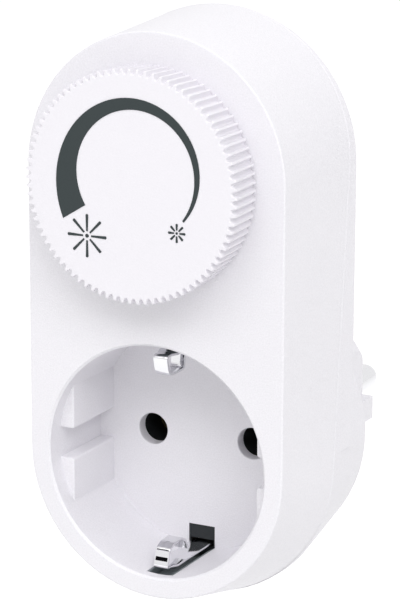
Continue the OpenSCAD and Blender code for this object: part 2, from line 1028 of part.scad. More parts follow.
module contact_carrier() {
    color(carrier_black)
        from_face()
            difference() {
                union() {
                    block([-carrier_x, carrier_x], carrier_d, [-carrier_z, carrier_z]);
                    for (x = [-pin_x, pin_x])
                        translate([x, 0, 0])
                            rod(guide_r, floor_back + play, carrier_d[0] + eps);
                }
                for (x = [-pin_x, pin_x])
                    translate([x, 0, 0]) {
                        rod(hole_r, 0, big);
                        rod(sleeve_r + touch, sleeve_d[0] - touch, big);
                    }
                block([-core_x, core_x], [sleeve_d[0], big], [-core_z, carrier_z + 1]);
            }
}

// Earth path: the bridge behind the floor, the plug's side contacts and the two clips
bridge_w = 4.4;

module earth_bridge() {
    color(brass)
        from_face()
            block([-bridge_w / 2, bridge_w / 2], bridge_d, [-clip_foot_z - 1, clip_foot_z + 1]);
}

module plug_earth_contacts() {
    end_d = plug_d - 1.5;
    color(nickel)
        from_face()
            for (z = [earth_z, -earth_z - earth_t])
                block([-earth_w / 2, earth_w / 2], [bridge_d[1] + touch, end_d], [z, z + earth_t]);
}

// Clip seen from the side, as [depth, distance from the middle] along its metal
clip_front_d = slot_d + 0.5;
clip_root_d = bridge_d[0] - 0.2;
clip_rise = clip_foot_z - clip_reach;
clip_mid = clip_reach + clip_t / 2;
clip_foot_path = [[clip_root_d, clip_foot_z], [clip_front_d + 1.8, clip_foot_z]];
clip_nose_path = concat(
    [[clip_front_d + 4, clip_foot_z], [clip_front_d + 1.6, clip_foot_z]],
    [[clip_front_d + 0.6, clip_foot_z - 0.4], [clip_front_d + 0.1, clip_foot_z - 1.2]],
    [[clip_front_d + 0.1, clip_foot_z - clip_rise * 0.55], [clip_front_d + 0.7, clip_mid + 0.8]],
    [[clip_front_d + 1.9, clip_mid + 0.2], [clip_front_d + 3.5, clip_mid]],
    [[clip_front_d + 5.1, clip_mid + 0.2], [clip_front_d + 6.3, clip_mid + 1]],
    [[clip_front_d + 6.9, clip_mid + 2]]
);

function beside(p, i, t) = let (h = heading(p, i)) p[i] + t / 2 * [-h[1], h[0]];

// Strip of metal along a path in the plane of depth and height, centred across the width
module strip(path, t, w) {
    outline = concat(
        [for (i = [0 : len(path) - 1]) beside(path, i, t)],
        [for (i = [len(path) - 1 : -1 : 0]) beside(path, i, -t)]
    );
    rotate([90, 0, 90])
        translate([0, 0, -w / 2])
            linear_extrude(w)
                polygon(outline);
}

clip_window = [1, 0.35];

module earth_clip() {
    color(nickel)
        difference() {
            union() {
                strip(clip_foot_path, clip_t, clip_foot_w);
                strip(clip_nose_path, clip_t, clip_w);
            }
            block(
                [-clip_window[0], clip_window[0]], [clip_front_d - 1, clip_front_d + 1],
                [clip_foot_z - 1.75 - clip_window[1], clip_foot_z - 1.75 + clip_window[1]]
            );
        }
}

module upper_earth_clip() {
    from_face()
        earth_clip();
}

module lower_earth_clip() {
    from_face()
        mirror([0, 0, 1])
            earth_clip();
}

// Dark insert in each clip slot: a channel along the slot and a plug in the floor's hole, with a slit
// for the clip's root
lining_t = 0.5;
lining_side = 0.3;
lining_edge = 0.5;
lining_set = 0.15;

module slot_lining() {
    x = slot_w / 2 - play;
    top = slot_z - touch;
    end = bridge_d[0] - touch;
    root_x = clip_foot_w / 2 + ease;
    root_z = [clip_foot_z - clip_t / 2 - ease, clip_foot_z + clip_t / 2 + ease + play];
    difference() {
        union() {
            difference() {
                block([-x, x], [slot_d + play, end], [recess_r - play, top]);
                block([-x + lining_side, x - lining_side], [0, recess_d + lining_set], [0, top - lining_t]);
            }
            block([-x, x], [recess_d + lining_set, end], [slot_in_z + play, top]);
            block(
                [-x - lining_edge, x + lining_edge], [floor_back + touch, end],
                [slot_in_z - lining_edge, top]
            );
        }
        block([-root_x, root_x], [recess_d, big], root_z);
    }
}

module slot_linings() {
    color(carrier_black)
        from_face() {
            slot_lining();
            mirror([0, 0, 1])
                slot_lining();
        }
}

// Leads from the plug's line pin to the board and from the board to the line sleeve
lead_x = pin_x - collar_r - lead_r - touch;
board_lead_z = board_low_z + lead_r + 0.2;
pass_x = [lead_x - 0.8, lead_x + 2];
pass_d = back_in - lead_r - 0.3;
pass_z = pocket_z + 1.5;
line_lead_path = [
    [lead_x, collar_d[1] - 1, 0],
    [lead_x, boss_in + 1.5, 0.3],
    [lead_x, boss_in - 1.2, 2],
    [lead_x, boss_in - 1.7, 5],
    [lead_x + 0.8, boss_in - 2.8, 9],
    [pass_x[1], back_in + 1.9, 13],
    [pass_x[1], back_in + 0.3, 16.5],
    [pass_x[1], pass_d, 19.6],
    [pass_x[1], pass_d, pass_z - 1],
    [pass_x[1], floor_back, board_lead_z - 1],
    [pass_x[1], board_back + 2, board_lead_z],
    [pass_x[1], board_back + touch, board_lead_z]
];
load_lead_path = [
    [lead_x, sleeve_d[0] + 1.4, 0],
    [lead_x - 1.6, sleeve_d[0] + 1.3, 3],
    [lead_x - 2, sleeve_d[0] + 0.9, 7],
    [lead_x - 1.6, back_in + 1.2, 10],
    [lead_x - 1.4, bridge_d[1] + 2, 14],
    [pass_x[0], bridge_d[1] + 1.8, 17],
    [pass_x[0], pass_d, 20.3],
    [pass_x[0], pass_d, pass_z - 1],
    [lead_x - 1.8, floor_back, board_lead_z - 1.5],
    [lead_x - 2, board_back + 2, board_lead_z],
    [lead_x - 2, board_back + touch, board_lead_z]
];

module line_lead() {
    color("#6B4326")
        from_face()
            lead(line_lead_path, lead_r);
}

module load_lead() {
    color("#1F1F21")
        from_face()
            lead(load_lead_path, lead_r);
}

front_housing();
rear_cover();
cover_screws();
knob();
knob_print();
pot_shaft();
pot_wiper();
pot_housing();
pot_track();
pot_terminals();
circuit_board();
board_screws();
triac();
heatsink();
triac_screw();
choke_core();
choke_winding();
film_capacitor();
timing_capacitor();
diac();
resistors();
fuse_tube();
fuse_caps();
fuse_clips();
line_plug_pin();
neutral_plug_pin();
line_socket_sleeve();
neutral_socket_sleeve();
neutral_link();
contact_carrier();
slot_linings();
earth_bridge();
plug_earth_contacts();
upper_earth_clip();
lower_earth_clip();
line_lead();
load_lead();
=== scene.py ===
import bpy
import bmesh
import json
import math
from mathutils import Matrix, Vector


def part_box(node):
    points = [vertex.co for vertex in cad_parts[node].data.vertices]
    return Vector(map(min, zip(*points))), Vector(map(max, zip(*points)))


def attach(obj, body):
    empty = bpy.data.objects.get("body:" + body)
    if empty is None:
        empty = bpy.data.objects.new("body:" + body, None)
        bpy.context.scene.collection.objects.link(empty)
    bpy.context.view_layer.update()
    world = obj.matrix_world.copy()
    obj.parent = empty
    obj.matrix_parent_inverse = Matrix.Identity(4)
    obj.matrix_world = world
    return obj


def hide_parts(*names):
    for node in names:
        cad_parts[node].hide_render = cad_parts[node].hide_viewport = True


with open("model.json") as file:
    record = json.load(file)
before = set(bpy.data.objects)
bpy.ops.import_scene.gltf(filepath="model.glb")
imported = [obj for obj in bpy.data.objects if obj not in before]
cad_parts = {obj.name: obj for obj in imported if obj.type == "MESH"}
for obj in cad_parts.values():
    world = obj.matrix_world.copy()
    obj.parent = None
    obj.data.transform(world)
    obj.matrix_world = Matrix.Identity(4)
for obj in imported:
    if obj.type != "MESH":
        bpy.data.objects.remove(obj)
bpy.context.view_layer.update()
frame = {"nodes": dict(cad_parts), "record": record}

mm = 0.001
scene = bpy.context.scene
nodes = frame["nodes"]
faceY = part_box("front_housing")[0].y        # plane of the front face
print("frame loaded:", len(nodes), "nodes, front face at y", round(faceY, 4))

# camera

cameraView = {
    "azimuth": 27.159, "elevation": 14.2337, "roll": 0.1696,
    "distance": 0.446549, "right": 0.0076316, "up": 0.027086,
    "focalPixels": 2698.7, "longSide": 600, "sensor": 36.0, "near": 0.01,
}


def makeCamera(v):
    a, e, r = (math.radians(v[k]) for k in ("azimuth", "elevation", "roll"))
    back = Vector((math.sin(a) * math.cos(e), -math.cos(a) * math.cos(e), math.sin(e)))
    side = Vector((math.cos(a), math.sin(a), 0.0))
    top = back.cross(side)
    right = side * math.cos(r) + top * math.sin(r)
    up = back.cross(right)
    data = bpy.data.cameras.new("photoCamera")
    data.sensor_width = v["sensor"]
    data.lens = v["sensor"] * v["focalPixels"] / v["longSide"]
    data.clip_start = v["near"]
    cam = bpy.data.objects.new("photoCamera", data)
    scene.collection.objects.link(cam)
    place = Vector((0, faceY, 0)) + right * v["right"] + up * v["up"] + back * v["distance"]
    for i, axis in enumerate((right, up, back)):
        for j in range(3):
            cam.matrix_world[j][i] = axis[j]
    cam.matrix_world.translation = place
    scene.camera = cam


makeCamera(cameraView)
print("camera set")

# small helpers


def newObject(name, mesh, body, material):
    piece = bpy.data.objects.new(name, mesh)
    scene.collection.objects.link(piece)
    mesh.materials.append(material)
    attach(piece, body)
    return piece


def meshFrom(bm, name, sharp):
    # smooth mesh with sharp edges where two faces meet at more than the angle in degrees
    bmesh.ops.recalc_face_normals(bm, faces=bm.faces)
    for e in bm.edges:
        e.smooth = e.is_manifold and e.calc_face_angle(0) < math.radians(sharp)
    for f in bm.faces:
        f.smooth = True
    mesh = bpy.data.meshes.new(name)
    bm.to_mesh(mesh)
    bm.free()
    if "custom_normal" in mesh.attributes:      # normals of the solid, which hide the marks
        mesh.attributes.remove(mesh.attributes["custom_normal"])
    return mesh


def joinRings(bm, one, two):
    for i in range(len(one)):
        j = (i + 1) % len(one)
        bm.faces.new((one[i], one[j], two[j], two[i]))


# shader groups shared by the materials


def feed(tree, socket, x):
    # a link where x is another node's output, else a constant
    if hasattr(x, "links"):
        tree.links.new(x, socket)
    else:
        socket.default_value = x


def newGroup(name, inputs):
    group = bpy.data.node_groups.new(name, "ShaderNodeTree")
    for label, kind, value in inputs:
        socket = group.interface.new_socket(label, in_out="INPUT", socket_type=kind)
        socket.default_value = value
    for label, kind in (("Color", "NodeSocketColor"), ("Roughness", "NodeSocketFloat"),
                        ("Height", "NodeSocketFloat")):
        group.interface.new_socket(label, in_out="OUTPUT", socket_type=kind)
    return group, group.nodes.new("NodeGroupInput"), group.nodes.new("NodeGroupOutput")


def addNoise(tree, coords, scale, detail, rough=0.5):
    noise = tree.nodes.new("ShaderNodeTexNoise")
    feed(tree, noise.inputs["Scale"], scale)
    noise.inputs["Detail"].default_value = detail
    noise.inputs["Roughness"].default_value = rough
    tree.links.new(coords, noise.inputs["Vector"])
    return noise.outputs["Fac"]


def addRange(tree, value, low, high):
    remap = tree.nodes.new("ShaderNodeMapRange")
    tree.links.new(value, remap.inputs["Value"])
    feed(tree, remap.inputs["To Min"], low)
    feed(tree, remap.inputs["To Max"], high)
    return remap.outputs["Result"]


def addMath(tree, how, a, b):
    node = tree.nodes.new("ShaderNodeMath")
    node.operation = how
    feed(tree, node.inputs[0], a)
    feed(tree, node.inputs[1], b)
    return node.outputs[0]


def addMix(tree, fac, a, b):
    node = tree.nodes.new("ShaderNodeMix")
    node.data_type = "RGBA"
    for i, x in ((0, fac), (6, a), (7, b)):     # places of the factor and the two colours
        feed(tree, node.inputs[i], x)
    return node.outputs[2]


def addGloss(group, start, end, a, b):
    # roughness between the two gloss inputs, by the mean of two noises
    mean = addMath(group, "MULTIPLY", addMath(group, "ADD", a, b), 0.5)
    rough = addRange(group, mean, start.outputs["Gloss Low"], start.outputs["Gloss High"])
    group.links.new(rough, end.inputs["Roughness"])


grainLook = {
    "cloudScale": 40.0, "cloudDetail": 3.0, "pitScale": 2600.0, "pitDetail": 2.0, "pitRough": 0.6,
    "speckScale": 900.0, "speckDetail": 2.0, "cloudShare": 0.2, "pitShare": 0.8,
}


def makeGrainGroup(v):
    # moulded skin: cloudy tone, small changes of gloss and a fine pitted surface
    group, start, end = newGroup(
        "mouldedGrain",
        [("Light", "NodeSocketColor", (1, 1, 1, 1)), ("Deep", "NodeSocketColor", (0.9, 0.9, 0.9, 1)),
         ("Gloss Low", "NodeSocketFloat", 0.4), ("Gloss High", "NodeSocketFloat", 0.5),
         ("Pit Scale", "NodeSocketFloat", v["pitScale"])],
    )
    coords = group.nodes.new("ShaderNodeTexCoord").outputs["Object"]
    cloud = addNoise(group, coords, v["cloudScale"], v["cloudDetail"])
    pits = addNoise(group, coords, start.outputs["Pit Scale"], v["pitDetail"], v["pitRough"])
    speck = addNoise(group, coords, v["speckScale"], v["speckDetail"])
    shade = addMath(group, "ADD", addMath(group, "MULTIPLY", cloud, v["cloudShare"]),
                    addMath(group, "MULTIPLY", pits, v["pitShare"]))
    tone = addMix(group, shade, start.outputs["Light"], start.outputs["Deep"])
    group.links.new(tone, end.inputs["Color"])
    addGloss(group, start, end, cloud, speck)
    group.links.new(pits, end.inputs["Height"])
    return group


metalLook = {
    "lineScale": 3000.0, "lineDetail": 3.0, "lineRough": 0.6, "smudgeScale": 220.0, "smudgeDetail": 3.0,
    "depth": 0.000006, "strength": 0.2,
}


def makeMetalGroup(v):
    # rolled or turned metal: fine lines one way, faint smudges
    group, start, end = newGroup(
        "rolledMetal",
        [("Bright", "NodeSocketColor", (0.8, 0.8, 0.8, 1)), ("Dull", "NodeSocketColor", (0.6, 0.6, 0.6, 1)),
         ("Gloss Low", "NodeSocketFloat", 0.15), ("Gloss High", "NodeSocketFloat", 0.3),
         ("Stretch", "NodeSocketVector", (1, 1, 1))],
    )
    coords = group.nodes.new("ShaderNodeTexCoord").outputs["Object"]
    stretch = group.nodes.new("ShaderNodeVectorMath")
    stretch.operation = "MULTIPLY"
    group.links.new(coords, stretch.inputs[0])
    group.links.new(start.outputs["Stretch"], stretch.inputs[1])
    lines = addNoise(group, stretch.outputs[0], v["lineScale"], v["lineDetail"], v["lineRough"])
    smudge = addNoise(group, coords, v["smudgeScale"], v["smudgeDetail"])
    tone = addMix(group, smudge, start.outputs["Bright"], start.outputs["Dull"])
    group.links.new(tone, end.inputs["Color"])
    addGloss(group, start, end, lines, smudge)
    group.links.new(lines, end.inputs["Height"])
    return group


grainGroup = makeGrainGroup(grainLook)
metalGroup = makeMetalGroup(metalLook)


def newMaterial(name, group, gloss, bumpDepth, bumpStrength):
    material = bpy.data.materials.new(name)
    material.use_nodes = True
    tree = material.node_tree
    shader = tree.nodes["Principled BSDF"]
    inner = tree.nodes.new("ShaderNodeGroup")
    inner.node_tree = group
    inner.inputs["Gloss Low"].default_value = gloss[0]
    inner.inputs["Gloss High"].default_value = gloss[1]
    bump = tree.nodes.new("ShaderNodeBump")
    bump.inputs["Distance"].default_value = bumpDepth
    bump.inputs["Strength"].default_value = bumpStrength
    tree.links.new(inner.outputs["Color"], shader.inputs["Base Color"])
    tree.links.new(inner.outputs["Roughness"], shader.inputs["Roughness"])
    tree.links.new(inner.outputs["Height"], bump.inputs["Height"])
    tree.links.new(bump.outputs["Normal"], shader.inputs["Normal"])
    return material, shader, inner


def plastic(name, light, deep, gloss, pitScale=grainLook["pitScale"], depth=0.00002, strength=0.25,
            ior=1.5, clear=0.0):
    material, shader, inner = newMaterial(name, grainGroup, gloss, depth, strength)
    inner.inputs["Light"].default_value = (*light, 1)
    inner.inputs["Deep"].default_value = (*deep, 1)
    inner.inputs["Pit Scale"].default_value = pitScale
    shader.inputs["IOR"].default_value = ior
    shader.inputs["Transmission Weight"].default_value = clear
    return material


def metal(name, bright, dull, gloss, stretch=(1, 1, 1)):
    material, shader, inner = newMaterial(
        name, metalGroup, gloss, metalLook["depth"], metalLook["strength"])
    inner.inputs["Bright"].default_value = (*bright, 1)
    inner.inputs["Dull"].default_value = (*dull, 1)
    inner.inputs["Stretch"].default_value = stretch
    shader.inputs["Metallic"].default_value = 1.0
    return material


finish = {
    "shell_plastic": plastic("shellPlastic", (0.92, 0.906, 0.945), (0.735, 0.724, 0.758), (0.38, 0.47),
                             pitScale=3600.0, depth=0.00006, strength=1.0),
    "knob_plastic": plastic("knobPlastic", (0.865, 0.846, 0.888), (0.803, 0.787, 0.828), (0.36, 0.45),
                            pitScale=3000.0, depth=0.00003, strength=1.0),
    "print_ink": plastic("printInk", (0.036, 0.047, 0.049), (0.031, 0.041, 0.043), (0.46, 0.6),
                         pitScale=5000.0, ior=1.35),
    "screw_steel": metal("screwSteel", (0.5, 0.5, 0.52), (0.38, 0.38, 0.4), (0.3, 0.45)),
    "shaft_plastic": plastic("shaftPlastic", (0.8, 0.79, 0.75), (0.74, 0.73, 0.69), (0.4, 0.5)),
    "contact_brass": metal("contactBrass", (0.79, 0.62, 0.28), (0.62, 0.46, 0.2), (0.22, 0.38), (1, 0.1, 1)),
    "nickel_plate": metal("nickelPlate", (0.83, 0.83, 0.85), (0.74, 0.74, 0.76), (0.05, 0.13), (1, 0.12, 1)),
    "pot_plastic": plastic("potPlastic", (0.05, 0.052, 0.058), (0.038, 0.04, 0.045), (0.4, 0.55)),
    "track_board": plastic("trackBoard", (0.14, 0.07, 0.034), (0.1, 0.05, 0.026), (0.4, 0.6)),
    "tinned_metal": metal("tinnedMetal", (0.72, 0.72, 0.73), (0.58, 0.58, 0.6), (0.25, 0.45)),
    "board_resin": plastic("boardResin", (0.05, 0.16, 0.07), (0.035, 0.12, 0.05), (0.25, 0.4)),
    "triac_resin": plastic("triacResin", (0.026, 0.027, 0.03), (0.02, 0.02, 0.022), (0.45, 0.6)),
    "sink_aluminium": metal("sinkAluminium", (0.66, 0.67, 0.69), (0.55, 0.56, 0.58), (0.3, 0.45),
                            (1, 1, 0.08)),
    "ferrite": plastic("ferrite", (0.09, 0.095, 0.1), (0.06, 0.063, 0.068), (0.55, 0.75), strength=0.5),
    "copper_wire": metal("copperWire", (0.6, 0.22, 0.07), (0.48, 0.16, 0.05), (0.2, 0.35), (0.1, 1, 1)),
    "red_box": plastic("redBox", (0.5, 0.032, 0.024), (0.42, 0.026, 0.02), (0.25, 0.35)),
    "yellow_box": plastic("yellowBox", (0.7, 0.46, 0.045), (0.62, 0.4, 0.036), (0.25, 0.35)),
    "blue_glass": plastic("blueGlass", (0.032, 0.12, 0.42), (0.025, 0.09, 0.34), (0.12, 0.22)),
    "resistor_film": plastic("resistorFilm", (0.58, 0.4, 0.21), (0.5, 0.34, 0.17), (0.25, 0.4)),
    "fuse_glass": plastic("fuseGlass", (0.95, 0.98, 0.98), (0.9, 0.95, 0.95), (0.02, 0.06),
                          depth=0.000004, strength=0.1, clear=1.0),
    "carrier_plastic": plastic("carrierPlastic", (0.016, 0.018, 0.02), (0.012, 0.0135, 0.015), (0.45, 0.6),
                               ior=1.36),
    "brown_insulation": plastic("brownInsulation", (0.16, 0.06, 0.022), (0.12, 0.046, 0.017), (0.45, 0.6)),
    "black_insulation": plastic("blackInsulation", (0.018, 0.018, 0.019), (0.013, 0.013, 0.014),
                                (0.45, 0.6)),
}


def changeAlong(material, places, far):
    # the colours change to the far ones between two places along the part's depth
    tree = material.node_tree
    inner = next(n for n in tree.nodes if n.type == "GROUP")
    split = tree.nodes.new("ShaderNodeSeparateXYZ")
    tree.links.new(tree.nodes.new("ShaderNodeTexCoord").outputs["Object"], split.inputs[0])
    along = addRange(tree, split.outputs["Y"], 0.0, 1.0)
    for key, place in zip(("From Min", "From Max"), places):
        along.node.inputs[key].default_value = place
    for name, colour in far.items():
        near = tuple(inner.inputs[name].default_value)
        tree.links.new(addMix(tree, along, near, (*colour, 1)), inner.inputs[name])
    return material


insertLightAndShade = {      # the change from painted light to painted shade runs between these depths behind the face
    "paintedLitLight": (0.23, 0.26, 0.272), "paintedLitDeep": (0.205, 0.232, 0.243), "gloss": (0.5, 0.62),
    "paintedShadeLight": (0.022, 0.025, 0.028), "paintedShadeDeep": (0.017, 0.02, 0.022), "change": (15.5, 17.4), "ior": 1.38,
}


def makeInsertLightAndShade(v):
    # one dark plastic with painted light and shade: pale grey in the channel, near black behind the recess
    # floor
    material = plastic("insertPaintedLightShade", v["paintedLitLight"], v["paintedLitDeep"], v["gloss"], ior=v["ior"])
    places = [faceY + depth * mm for depth in v["change"]]
    return changeAlong(material, places, {"Light": v["paintedShadeLight"], "Deep": v["paintedShadeDeep"]})


screwLook = {       # the painted shade at the bottom of the cross changes to steel between these depths below the head's top
    "bright": (0.5, 0.5, 0.52), "dull": (0.38, 0.38, 0.4), "gloss": (0.3, 0.45),
    "crossShadeBright": (0.07, 0.07, 0.075), "crossShadeDull": (0.045, 0.045, 0.05), "change": (0.6, 0.15),
}


def makeScrewSteelShaded(v):
    # grey steel head, with painted shade at the bottom of its cross
    material = metal("coverScrewShadedSteel", v["crossShadeBright"], v["crossShadeDull"], v["gloss"])
    places = [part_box("cover_screws")[1].y - depth * mm for depth in v["change"]]
    return changeAlong(material, places, {"Bright": v["bright"], "Dull": v["dull"]})


special = {     # nodes painted with the light and shade of where they lie, darker deep in a recess, cross or hole, instead of the plain colour of their slot
    "slot_linings": makeInsertLightAndShade(insertLightAndShade),
    "cover_screws": makeScrewSteelShaded(screwLook),
    # the sleeves' brass is darkened to near black: painted shade inside the pin holes
    "line_socket_sleeve": metal("brassPaintedShade", (0.2, 0.15, 0.07), (0.14, 0.1, 0.05), (0.4, 0.55), (1, 0.1, 1)),
}
special["neutral_socket_sleeve"] = special["line_socket_sleeve"]
# near-black plastic for the plate behind the lower clip's window and slit: painted shade
paintedShadeBlack = plastic("paintedShadeBlack", (0.004, 0.004, 0.0045), (0.003, 0.003, 0.0034), (0.8, 0.95), ior=1.1)
slotOf = {s["node"]: s["material_slot"] for s in frame["record"]["subparts"]}
for name, node in nodes.items():
    node.data.materials.clear()
    node.data.materials.append(special.get(name, finish[slotOf[name]]))
print("materials made:", len(finish) + len(special))

# housing halves: the solids with the edges of the holes and the seam rounded

shellShape = {
    "weld": 2e-6, "flatAngle": 0.3, "edgeAngle": 32, "sharp": 35, "roundSteps": 3, "evenWeight": 100,
    "holeRound": 0.22, "holeX": 9.5, "holeRadius": 2.75, "holeNear": 0.1, "floorDepth": 17.5, "floorNear": 0.05,
    "seamRound": 0.15, "seamDepth": 18.2, "seamSlope": 0.0803, "seamNear": 0.06, "topZ": 48.5, "skin": 23.6,
}


def nodeMesh(name, v):
    # the solid's mesh without doubled points and without the edges inside flat faces
    bm = bmesh.new()
    bm.from_mesh(nodes[name].data)
    bmesh.ops.remove_doubles(bm, verts=bm.verts, dist=v["weld"])
    bmesh.ops.dissolve_limit(bm, angle_limit=math.radians(v["flatAngle"]), verts=bm.verts, edges=bm.edges)
    return bm


def pickEdges(bm, wanted, v):
    # outward edges whose ends are wanted, by place in mm with the depth from the face
    limit = math.radians(v["edgeAngle"])
    chosen = []
    for e in bm.edges:
        if e.is_manifold and e.is_convex and e.calc_face_angle(0) > limit:
            ends = [p.co / mm - Vector((0, faceY / mm, 0)) for p in e.verts]
            if all(wanted(*q, v) for q in ends):
                chosen.append(e)
    return chosen


def roundEdges(bm, width, wanted, v):
    chosen = pickEdges(bm, wanted, v)
    if chosen:
        bmesh.ops.bevel(bm, geom=chosen, offset=width * mm, segments=v["roundSteps"], profile=0.5,
                        affect="EDGES", clamp_overlap=True)
    return len(chosen)


def onHole(x, d, z, v):
    fromRim = math.hypot(abs(x) - v["holeX"], z) - v["holeRadius"]
    return abs(d - v["floorDepth"]) < v["floorNear"] and abs(fromRim) < v["holeNear"]


def onSeam(x, d, z, v):
    out = math.hypot(x, z - v["topZ"]) if z > v["topZ"] else abs(x) if z > 0 else math.hypot(x, z)
    return abs(d - v["seamDepth"] - z * v["seamSlope"]) < v["seamNear"] and out > v["skin"]


def evenNormals(piece, v):
    even = piece.modifiers.new("evenNormals", "WEIGHTED_NORMAL")
    even.keep_sharp = True
    even.weight = v["evenWeight"]


beadShape = {"long": 0.5, "flat": 0.14, "high": 0.055, "sunk": 0.05, "middleZ": 20.0, "sharp": 15}


def makeSeamBead(bm, v):
    # fine raised line along the front shell's edge at the seam
    edges = pickEdges(bm, onSeam, shellShape)
    links = {}
    for e in edges:
        for a, b in (e.verts, reversed(e.verts)):
            links.setdefault(a, []).append(b)
    start = min(links, key=lambda q: q.co.z)
    path, last = [start], None
    while True:
        step = next((q for q in links[path[-1]] if q is not last and q not in path[1:]), None)
        if step is None or step is start:
            break
        last = path[-1]
        path.append(step)
    section = ((v["long"], -v["sunk"]), (v["flat"], v["high"]), (0.0, v["high"]), (0.0, -v["sunk"]))
    bead = bmesh.new()
    rings = []
    for k, q in enumerate(path):
        along = path[(k + 1) % len(path)].co - path[k - 1].co
        out = Vector((along.z, 0, -along.x)).normalized()
        if out.dot(Vector((q.co.x, 0, q.co.z - v["middleZ"] * mm))) < 0:
            out = -out
        rings.append([bead.verts.new(q.co + (out * high - Vector((0, 1, 0)) * fore) * mm)
                      for fore, high in section])
    for k, one in enumerate(rings):
        joinRings(bead, one, rings[(k + 1) % len(rings)])
    print("seam bead:", len(path), "of", len(edges), "edges")
    return meshFrom(bead, "seamBead", v["sharp"])


for halfName, halfPiece in (("front_housing", "frontShell"), ("rear_cover", "rearShell")):
    bm = nodeMesh(halfName, shellShape)
    if halfName == "front_housing":
        beadMesh = makeSeamBead(bm, beadShape)
    done = [roundEdges(bm, shellShape["seamRound"], onSeam, shellShape)]
    if halfName == "front_housing":
        done += [roundEdges(bm, shellShape["holeRound"], onHole, shellShape)]
    print(halfName, "edges rounded", done, "faces", len(bm.faces))
    mesh = meshFrom(bm, halfPiece, shellShape["sharp"])
    piece = newObject(halfPiece, mesh, "housing", finish["shell_plastic"])
    evenNormals(piece, shellShape)
    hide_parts(halfName)

newObject("seamBead", beadMesh, "housing", finish["shell_plastic"])

# socket recess: guide ribs with soft edges

recessShape = {
    "radius": 20.0, "depth": 17.5, "sunk": 0.1, "ribX": 17.2, "ribFront": 3.5, "groove": 2.62,
    "ribRound": 0.45, "roundSteps": 6, "wallSteps": 8,
    "frontRound": 0.25, "frontAngles": (90, 67, 45, 22, 0), "sharp": 38,
}


def ribOutline(v):
    # (x, z, outward x, outward z) of one rib's cross-section; the side in the wall has no outward
    wall, fold = v["radius"] + v["sunk"], v["ribRound"]
    low, high = math.asin(v["groove"] / wall), math.acos(v["ribX"] / wall)
    line = [(wall * math.cos(low), v["groove"], 0, -1)]
    for k in range(v["roundSteps"] + 1):
        a = math.radians(270 - 90 * k / v["roundSteps"])
        line.append((v["ribX"] + fold * (1 + math.cos(a)), v["groove"] + fold * (1 + math.sin(a)),
                     math.cos(a), math.sin(a)))
    line.append((v["ribX"], wall * math.sin(high), -1, 0))
    for k in range(1, v["wallSteps"]):
        a = high + (low - high) * k / v["wallSteps"]
        line.append((wall * math.cos(a), wall * math.sin(a), 0, 0))
    return line


def makeRibs(v):
    bm = bmesh.new()
    line, fr = ribOutline(v), v["frontRound"]
    levels = []     # (depth, inset of the outline)
    for degrees in v["frontAngles"]:
        a = math.radians(degrees)
        levels.append((v["ribFront"] + fr * (1 - math.sin(a)), fr * (1 - math.cos(a))))
    levels.append((v["depth"] + v["sunk"], 0.0))
    for sx in (1, -1):
        for sz in (1, -1):
            rings = [[bm.verts.new((sx * (x - nx * inset) * mm, faceY + d * mm, sz * (z - nz * inset) * mm))
                      for x, z, nx, nz in line] for d, inset in levels]
            for one, two in zip(rings, rings[1:]):
                joinRings(bm, one, two)
            bm.faces.new(rings[0])
            bm.faces.new(rings[-1])
    return meshFrom(bm, "guideRibs", v["sharp"])


newObject("guideRibs", makeRibs(recessShape), "housing", finish["shell_plastic"])
print("guide ribs made")

# knob: skin swept round the axis, with hollow flutes that run out through the front edge

knobShape = {
    "axisZ": 48.1, "front": -8.2, "base": -0.06, "topRadius": 19.05, "baseRadius": 18.72,
    "faceRadii": (0.0, 4.0, 9.0, 13.0, 16.0, 17.3), "frontRound": 0.26, "frontGap": 0.02, "baseSlope": 0.7,
    "teeth": 84, "depth": 0.9, "perTooth": 16, "tipSoft": 0.05, "fluteShare": 0.74, "flutePower": 3,
    "frontSteps": 6, "sideSteps": 8, "slopeSteps": 4, "wall": 2.0, "topWall": 1.8,
    "rimRound": 0.25, "cornerRound": 0.4, "hub": 4.5, "hubFoot": 0.3, "hubRound": 0.2,
    "bore": 3.05, "boreRound": 0.15, "flat": 2.21, "sharp": 40,
}


def fluteCut(t, v):
    # hollow flute with steep sides over most of a pitch, and a narrow blunt ridge between flutes
    side = min(abs(2 * t - 1) / v["fluteShare"], 1.0)
    deep = v["depth"] * (1 - side ** v["flutePower"])
    return math.hypot(deep, v["tipSoft"]) - v["tipSoft"]


def knobRows(v):
    # (depth, radius, share of the flute cut, trim of the ridges); a share of -1 is the bore with its flat
    front, base, fr, slope = v["front"], v["base"], v["frontRound"], v["baseSlope"]

    def skin(y):
        return v["topRadius"] + (v["baseRadius"] - v["topRadius"]) * (y - front) / (base - front)

    rows = [(front, r, 0.0) for r in v["faceRadii"]]
    rows.append((front, skin(front) - fr - v["frontGap"], 1.0))
    for i in range(v["frontSteps"] + 1):
        a = math.radians(90 * i / v["frontSteps"])
        y = front + fr * (1 - math.cos(a))
        rows.append((y, skin(y) - fr * (1 - math.sin(a)), 1.0))
    for i in range(1, v["sideSteps"]):
        y = front + fr + (base - slope - front - fr) * i / v["sideSteps"]
        rows.append((y, skin(y), 1.0))
    for i in range(v["slopeSteps"] + 1):        # the ridges slope off at the base
        y = base - slope * (1 - i / v["slopeSteps"])
        rows.append((y, skin(y), 1.0, slope * i / v["slopeSteps"]))
    inner = v["topRadius"] - v["depth"] - v["wall"]
    inside = front + v["topWall"]
    rim, corner, foot = v["rimRound"], v["cornerRound"], v["hubFoot"]
    rows += [(base, inner + rim, 0.0), (base - rim, inner, 0.0), (inside + corner, inner, 0.0)]
    rows += [(inside, inner - corner, 0.0), (inside, v["hub"] + foot, 0.0), (inside + foot, v["hub"], 0.0)]
    rows += [(base - v["hubRound"], v["hub"], 0.0), (base, v["hub"] - v["hubRound"], 0.0)]
    rows += [(base, v["bore"] + v["boreRound"], -1.0), (base - v["boreRound"], v["bore"], -1.0)]
    rows += [(inside, v["bore"], -1.0), (inside, 0.0, 0.0)]
    return rows


